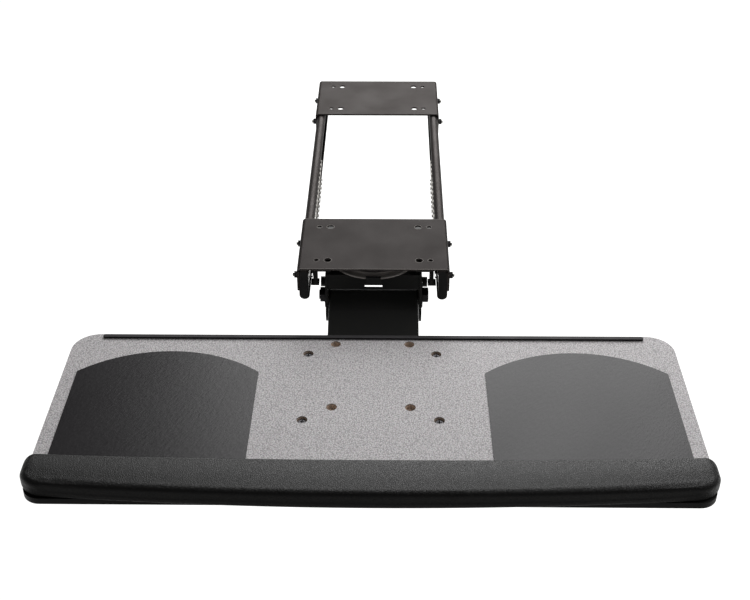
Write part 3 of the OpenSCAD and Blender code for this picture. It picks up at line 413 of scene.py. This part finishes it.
lam_mix = add(lam_tree, "ShaderNodeMix", {"data_type": "RGBA", "blend_type": "OVERLAY"}, {
    mix_share: 0.25, mix_a: lam_tones.outputs["Color"], mix_b: lam_mist.outputs["Color"]})
lam_gloss = add(lam_tree, "ShaderNodeMapRange", {}, {
    "Value": lam_mist.outputs["Fac"], "From Min": noise_low, "From Max": noise_high,
    "To Min": 0.42, "To Max": 0.58})
lam_bump = add(lam_tree, "ShaderNodeBump", {"invert": True}, {
    "Strength": 0.6, "Distance": pebble_height, "Height": lam_cells.outputs["Distance"]})
connect(lam_tree, lam_shader, {
    "Base Color": lam_mix.outputs[mix_out], "Roughness": lam_gloss.outputs["Result"],
    "Normal": lam_bump.outputs["Normal"]})
dress(laminate, "tray_laminate")

# The band is a plain dark extrusion with a low sheen
band_plastic = moulded("Extruded black edge band", "#242424", 0.45, 0.0006)
dress(band_plastic, "tray_edge_band")
dress(black_oxide, "board_screws")
dress(arm_coat, "tray_bracket")
dress(zinc, "weld_nuts")


# Rear stop strip
# A black rubbery extrusion, dull and a little grey, pressed into a groove along the board's rear
# edge; it stops a keyboard sliding off.

strip_rubber = moulded("Extruded black rubber", "#2f2d2f", 0.6, 0.0007, specular=0.12)
dress(strip_rubber, "rear_stop_strip")


# Mouse pads
# Thin charcoal sheets with an arched back edge, stuck to the board; the hard face has a fine tooth
# and faint polish where a mouse has run.

# The tooth is drawn coarser than the real one, so that it shows, and lies along the wiping hand
tooth, tooth_depth, polish_size = 0.0022, 0.0002, 0.06
wipe_angle, wipe_stretch = math.radians(-34), 2.5
pad_sheet, pad_tree, pad_shader, pad_place = start_finish(
    "Charcoal mousing sheet with a fine tooth", {"IOR": 1.5, "Specular IOR Level": 0.115})
pad_wipe = add(pad_tree, "ShaderNodeMapping", {"vector_type": "TEXTURE"}, {
    "Vector": pad_place, "Rotation": (0.0, 0.0, wipe_angle), "Scale": (1.0, wipe_stretch, 1.0)})
pad_tooth = add(pad_tree, "ShaderNodeTexNoise", {},
                {"Vector": pad_wipe.outputs["Vector"], "Scale": 1 / tooth, "Detail": 3.0})
pad_polish = add(pad_tree, "ShaderNodeTexNoise", {},
                 {"Vector": pad_wipe.outputs["Vector"], "Scale": 1 / polish_size, "Detail": 1.0})
pad_gloss = add(pad_tree, "ShaderNodeMapRange", {}, {
    "Value": pad_polish.outputs["Fac"], "To Min": 0.27, "To Max": 0.35})
pad_tone = add(pad_tree, "ShaderNodeMix", {"data_type": "RGBA"}, {
    mix_share: pad_tooth.outputs["Fac"], mix_a: linear("#171517"), mix_b: linear("#222022")})
pad_bump = add(pad_tree, "ShaderNodeBump", {}, {
    "Strength": 0.7, "Distance": tooth_depth, "Height": pad_tooth.outputs["Fac"]})
connect(pad_tree, pad_shader, {
    "Base Color": pad_tone.outputs[mix_out], "Roughness": pad_gloss.outputs["Result"],
    "Normal": pad_bump.outputs["Normal"]})
dress(pad_sheet, "left_mouse_pad", "right_mouse_pad")


# Palm rest carrier
# A moulded shelf in near-black plastic, screwed through the board; its lip hooks over the board's
# front edge under the cushion.

base_plastic = moulded("Moulded black carrier", "#111111", 0.5, 0.0005, specular=0.2)
dress(base_plastic, "palm_rest_base")
dress(zinc, "palm_rest_screws")


# Palm rest cushion
# Foam under a grained black vinyl skin, pulled tight over the carrier: a crowned flat top, a tight
# roll along a crease that bows towards the user, an upright front face and rounded ends.

board_low, board_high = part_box("tray_laminate")
edge_y, board_z = board_low.y, board_high.z
half_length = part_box("palm_rest")[1].x
# Heights from the board's top, depths from its front edge, then radii and the crease's bow
rest_h, seat_z, crown = 0.0185, 0.004, 0.0009
under_z, foot_z, droop = -0.0006, -0.0013, 0.002
rear_y, crease_y, front_y = 0.027, -0.015, -0.022
step_y, lip_y, lip_gap = -0.00225, -0.0115, 0.0005
back_r, roll_r, foot_r, end_foot_r = 0.004, 0.006, 0.0035, 0.0012
end_r, rear_end_r, top_end_r = 0.026, 0.013, 0.013
bow, rear_bow, front_bow = 0.020, 0.3, 0.75
# How many points each part of the section gets
back_steps, top_steps, roll_steps, foot_steps = 9, 20, 15, 7


def turn(centre, wide, high, first, last, steps):
    """Points on an arc of an ellipse, in degrees."""
    angles = np.radians(np.linspace(first, last, steps))
    return [(centre[0] + wide * math.cos(a), centre[1] + high * math.sin(a)) for a in angles]


def corner(x, r):
    """How far a corner of this radius has drawn in at x."""
    past = max(0.0, abs(x) - half_length + r)
    return r - math.sqrt(max(0.0, r * r - past * past))


def cushion_ring(x, count):
    """The cushion's section at x, as evenly spaced points that go once round it."""
    bowed = bow * (x / half_length) ** 2
    rear, crease = rear_y + rear_bow * bowed, crease_y + bowed
    front = front_y + front_bow * bowed
    room = min(1.0, max(0.0, (lip_y - front - foot_r) / (lip_y - front_y - foot_r)))
    foot = foot_z - droop * room
    tuck = end_foot_r + (foot_r - end_foot_r) * room
    under_y = max(lip_y, front + foot_r + lip_gap)
    outline = [(rear + back_r, seat_z)]
    outline += turn((rear, rest_h - back_r), back_r, back_r, 0, 90, back_steps)
    outline += [(rear + (crease - rear) * i / top_steps,
                 rest_h + crown * math.sin(math.pi * i / top_steps)) for i in range(1, top_steps)]
    outline += turn((crease, rest_h - roll_r), crease - front, roll_r, 90, 180, roll_steps)
    outline += turn((front + tuck, foot + tuck), tuck, tuck, 180, 270, foot_steps)
    outline += [(under_y, foot), (under_y, under_z), (step_y, under_z), (step_y, seat_z)]
    outline = np.array(outline + outline[:1])
    low, high = front + corner(x, end_r), rear + back_r - corner(x, rear_end_r)
    rise = 1 - corner(x, top_end_r) / (rest_h - seat_z)
    outline[:, 0] = low + (outline[:, 0] - front) * (high - low) / (rear + back_r - front)
    outline[:, 1] = seat_z + (outline[:, 1] - seat_z) * rise
    run = np.concatenate([[0], np.cumsum(np.linalg.norm(np.diff(outline, axis=0), axis=1))])
    even = np.linspace(0, run[-1], count, endpoint=False)
    depths, heights = (np.interp(even, run, outline[:, k]) for k in (0, 1))
    return np.stack([np.full(count, x), depths, heights], axis=1)


# Rings along the length, closer together round the ends, and smaller rings that close each end
ring_count, end_steps, between_steps = 96, 16, 170
closing_shares = (0.25, 0.5, 0.75)
end_angles = np.radians(np.linspace(0, 90, end_steps))
ends = [half_length - end_r * (1 - math.cos(a)) for a in end_angles]
between = np.linspace(half_length - end_r, -(half_length - end_r), between_steps)[1:-1]
stations = ends + list(between) + [-x for x in reversed(ends)]
rings = [cushion_ring(x, ring_count) for x in stations]
first, last = ([ring.mean(axis=0) + (ring - ring.mean(axis=0)) * share for share in closing_shares]
               for ring in (rings[0], rings[-1]))
rings = first + rings + last[::-1]
points = [(x, edge_y + y, board_z + z) for ring in rings for x, y, z in ring]
faces = []
for s in range(len(rings) - 1):
    here, beyond = s * ring_count, (s + 1) * ring_count
    for i in range(ring_count):
        n = (i + 1) % ring_count
        faces.append((here + i, here + n, beyond + n, beyond + i))
faces.append(tuple(reversed(range(ring_count))))
faces.append(tuple((len(rings) - 1) * ring_count + i for i in range(ring_count)))
skin = bpy.data.meshes.new("palm_cushion")
skin.from_pydata(points, [], faces)
skin.polygons.foreach_set("use_smooth", [True] * len(skin.polygons))
skin.update()
cushion = bpy.data.objects.new("palm_cushion", skin)
bpy.context.scene.collection.objects.link(cushion)

# The foam presses the skin out by up to half a millimetre; the underside is glued down and stays
foam_push, press_steps, most = 4, 20, 0.0005
glue_z = board_z + seat_z + 0.0006
glued = cushion.vertex_groups.new(name="glued")
glued.add([i for i in range(len(points)) if points[i][2] < glue_z], 1.0, "REPLACE")
cloth = cushion.modifiers.new("Cloth", "CLOTH")
cloth.settings.use_pressure = True
cloth.settings.uniform_pressure_force = foam_push
cloth.settings.effector_weights.gravity = 0
cloth.settings.vertex_group_mass = "glued"
for step in range(1, press_steps + 1):
    bpy.context.scene.frame_set(step)
pressed = cushion.evaluated_get(bpy.context.evaluated_depsgraph_get()).data
before = np.array(points)
after = np.empty(len(points) * 3)
pressed.vertices.foreach_get("co", after)
move = after.reshape(-1, 3) - before
reach = np.linalg.norm(move, axis=1, keepdims=True)
settled = before + move * np.minimum(1, most / np.maximum(reach, 1e-9))
cushion.modifiers.remove(cloth)
skin.vertices.foreach_set("co", settled.ravel())
skin.update()
bpy.context.scene.frame_set(1)
smooth = cushion.modifiers.new("Subdivision", "SUBSURF")
smooth.levels = smooth.render_levels = 1

# Embossed vinyl: small glossy cells parted by dull creases, drawn coarse enough to show
grain, grain_depth, warp_size, crease_width = 0.0017, 0.00016, 0.004, 0.22
vinyl, vin_tree, vin_shader, vin_place = start_finish(
    "Grained black vinyl", {"IOR": 1.5, "Specular IOR Level": 0.24})
vin_warp = add(vin_tree, "ShaderNodeTexNoise", {},
               {"Vector": vin_place, "Scale": 1 / warp_size, "Detail": 2.0})
vin_shift = add(vin_tree, "ShaderNodeVectorMath", {"operation": "MULTIPLY_ADD"},
                {0: vin_warp.outputs["Color"], 1: (grain, grain, grain), 2: vin_place})
vin_cells = add(vin_tree, "ShaderNodeTexVoronoi", {"feature": "DISTANCE_TO_EDGE"},
                {"Vector": vin_shift.outputs["Vector"], "Scale": 1 / grain})
vin_crease = add(vin_tree, "ShaderNodeMapRange", {"interpolation_type": "SMOOTHSTEP"}, {
    "Value": vin_cells.outputs["Distance"], "From Max": crease_width})
vin_tone = add(vin_tree, "ShaderNodeMix", {"data_type": "RGBA"}, {
    mix_share: vin_crease.outputs["Result"], mix_a: linear("#080808"), mix_b: linear("#131211")})
vin_gloss = add(vin_tree, "ShaderNodeMapRange", {}, {
    "Value": vin_crease.outputs["Result"], "To Min": 0.56, "To Max": 0.4})
vin_bump = add(vin_tree, "ShaderNodeBump", {}, {
    "Strength": 0.8, "Distance": grain_depth, "Height": vin_crease.outputs["Result"]})
connect(vin_tree, vin_shader, {
    "Base Color": vin_tone.outputs[mix_out], "Roughness": vin_gloss.outputs["Result"],
    "Normal": vin_bump.outputs["Normal"]})
skin.materials.append(vinyl)
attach(cushion, "tray")
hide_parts("palm_rest")


# Floor, light and camera
# The tray hangs at desk height over back-lit studio paper, with a large soft box behind it and one
# at its right. The paper is unlit in an oval in front, where the black fronts would mirror it.

floor_z, floor_half = -0.72, 8.0
oval_y, oval_half, lit_half, oval_stretch = -1.5, 0.9, 1.6, 2.0
floor_mesh = bpy.data.meshes.new("studio_floor")
floor_corners = ((-1, -1), (1, -1), (1, 1), (-1, 1))
floor_mesh.from_pydata([(x * floor_half, y * floor_half, floor_z) for x, y in floor_corners],
                       [], [(0, 1, 2, 3)])
floor = bpy.data.objects.new("studio_floor", floor_mesh)
bpy.context.scene.collection.objects.link(floor)
paper, paper_tree, paper_shader, paper_place = start_finish(
    "Back-lit studio paper", {"Base Color": linear("#cfcfce"), "Roughness": 0.9,
                              "Specular IOR Level": 0.0, "Emission Color": linear("#ffffff")})
paper_oval = add(paper_tree, "ShaderNodeMapping", {}, {
    "Vector": paper_place, "Location": (0.0, -oval_y, -floor_z),
    "Scale": (1 / oval_stretch, 1.0, 1.0)})
paper_reach = add(paper_tree, "ShaderNodeVectorMath", {"operation": "LENGTH"},
                  {0: paper_oval.outputs["Vector"]})
paper_glow = add(paper_tree, "ShaderNodeMapRange", {"interpolation_type": "SMOOTHSTEP"}, {
    "Value": paper_reach.outputs["Value"], "From Min": oval_half, "From Max": lit_half,
    "To Max": 0.55})
connect(paper_tree, paper_shader, {"Emission Strength": paper_glow.outputs["Result"]})
floor_mesh.materials.append(paper)

# Each soft box has its place, its width and height, and its power
soft_boxes = (
    ("rear_soft_box", (0.4, 2.5, 1.85), (2.2, 2.4), 140.0),
    ("right_soft_box", (1.5, 0.1, 1.4), (1.2, 1.2), 14.0),
)
lit_point = Vector((0.0, -0.1, -0.06))
for name, place, size, power in soft_boxes:
    light = bpy.data.lights.new(name, "AREA")
    light.shape = "RECTANGLE"
    light.size, light.size_y = size
    light.energy = power
    lamp = bpy.data.objects.new(name, light)
    lamp.location = place
    lamp.rotation_euler = (lit_point - Vector(place)).to_track_quat("-Z", "Y").to_euler()
    lamp.visible_camera = False
    bpy.context.scene.collection.objects.link(lamp)
backdrop = 0.12
world = bpy.data.worlds.new("Studio")
world.use_nodes = True
world_light = world.node_tree.nodes["Background"]
world_light.inputs["Color"].default_value = (backdrop, backdrop, backdrop, 1.0)
bpy.context.scene.world = world
bpy.context.scene.view_settings.view_transform = "Standard"

# The camera that was solved from the photograph, with its focal length in the photograph's pixels
focal_px, photo_w, sensor_w = 1207.0, 750, 36.0
camera_place = (0.02007, -1.28836, 0.79285)
pitch, pan, roll = (math.radians(a) for a in (34.298, -0.840, -0.199))
ahead = Vector((math.sin(pan) * math.cos(pitch), math.cos(pan) * math.cos(pitch),
                -math.sin(pitch)))
level = Vector((math.cos(pan), -math.sin(pan), 0.0))
upright = level.cross(ahead)
right = level * math.cos(roll) + upright * math.sin(roll)
up = upright * math.cos(roll) - level * math.sin(roll)
lens = bpy.data.cameras.new("photo_camera")
lens.sensor_width = sensor_w
lens.lens = sensor_w * focal_px / photo_w
camera = bpy.data.objects.new("photo_camera", lens)
turned = Matrix((right, up, -ahead)).transposed().to_4x4()
camera.matrix_world = Matrix.Translation(camera_place) @ turned
bpy.context.scene.collection.objects.link(camera)
bpy.context.scene.camera = camera
